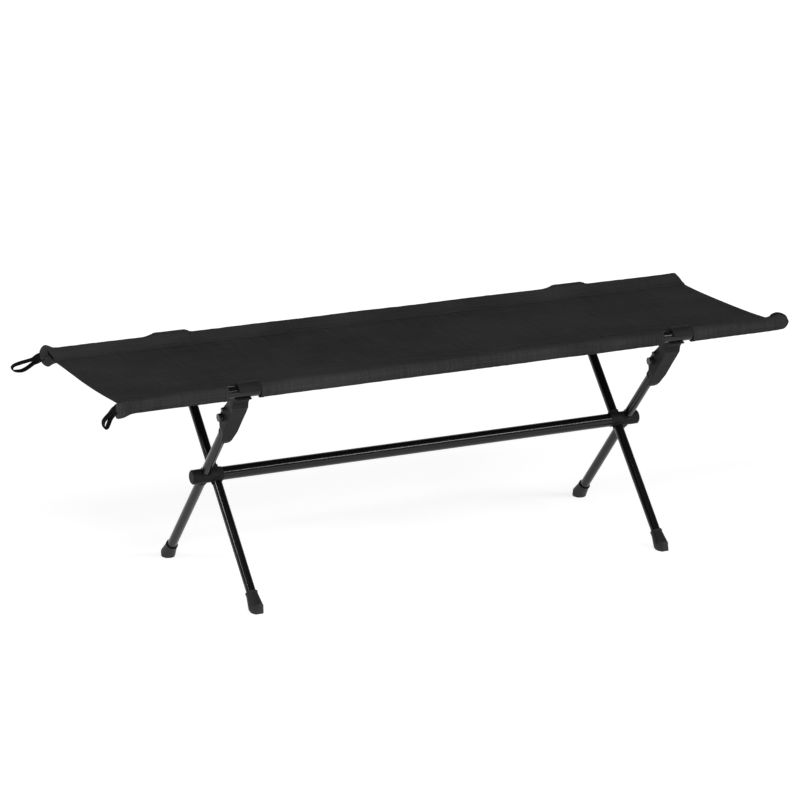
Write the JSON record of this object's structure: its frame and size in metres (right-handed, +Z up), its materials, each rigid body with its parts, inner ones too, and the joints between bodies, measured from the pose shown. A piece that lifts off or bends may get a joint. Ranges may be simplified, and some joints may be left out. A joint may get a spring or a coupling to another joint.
{
  "type": "folding cot bench",
  "caption": "Low folding cot bench: black cloth sling between two side poles, on crossed tube legs joined by one long beam, with tension levers on one side.",
  "frame": {"origin": "on the floor, midway between the four feet, under the middle of the beam", "axes": "+X along the bed, away from the pull loops; -Y towards the side with the levers; +Z up"},
  "size_m": [1.247, 0.3676, 0.3864],
  "materials": {
    "black_tube": "semi-gloss black coated aluminium tube",
    "moulding": "fine textured black moulded nylon",
    "rubber": "black moulded rubber",
    "steel": "blackened steel",
    "cloth": "tight plain weave polyester",
    "webbing": "narrow woven tape",
    "elastic": "braided elastic cord"
  },
  "bodies": {
    "beam_frame": {"beam_tube": "black_tube", "hub_left": "moulding", "hub_right": "moulding", "pivot_bolts": "steel", "pivot_washers": "steel", "pivot_nuts": "steel", "far_leg_left": "black_tube", "far_leg_right": "black_tube", "far_leg_foot_left": "rubber", "far_leg_foot_right": "rubber", "far_saddle_left": "moulding", "far_saddle_right": "moulding", "saddle_rivets": "steel", "far_pole_section_1": "black_tube", "far_pole_section_2": "black_tube", "far_pole_section_3": "black_tube", "far_pole_ferrules": "black_tube", "far_pole_tips": "moulding", "far_pole_cord": "elastic", "far_sleeve": "cloth", "sling_sheet": "cloth", "far_pull_loop": "webbing"},
    "swing_frame": {"knuckle_left": "moulding", "knuckle_right": "moulding", "hub_caps": "moulding", "near_leg_left": "black_tube", "near_leg_right": "black_tube", "near_leg_foot_left": "rubber", "near_leg_foot_right": "rubber", "lever_bracket_left": "moulding", "lever_bracket_right": "moulding", "lever_pins": "steel"},
    "near_rail": {"lever_left": "moulding", "lever_right": "moulding", "lever_stop_pins": "steel", "near_pole_section_1": "black_tube", "near_pole_section_2": "black_tube", "near_pole_section_3": "black_tube", "near_pole_ferrules": "black_tube", "near_pole_tips": "moulding", "near_pole_cord": "elastic", "near_sleeve": "cloth", "near_pull_loop": "webbing"}
  },
  "joints": [
    {"name": "leg_fold", "type": "hinge", "parent": "beam_frame", "child": "swing_frame", "pos_m": [0, 0, 0.184], "axis": [-1, 0, 0], "range_deg": [0, 62], "deforming": ["sling_sheet"]},
    {"name": "tension_levers", "type": "hinge", "parent": "swing_frame", "child": "near_rail", "pos_m": [0, -0.11139, 0.31252], "axis": [-1, 0, 0], "range_deg": [0, 24], "deforming": ["sling_sheet"]}
  ]
}
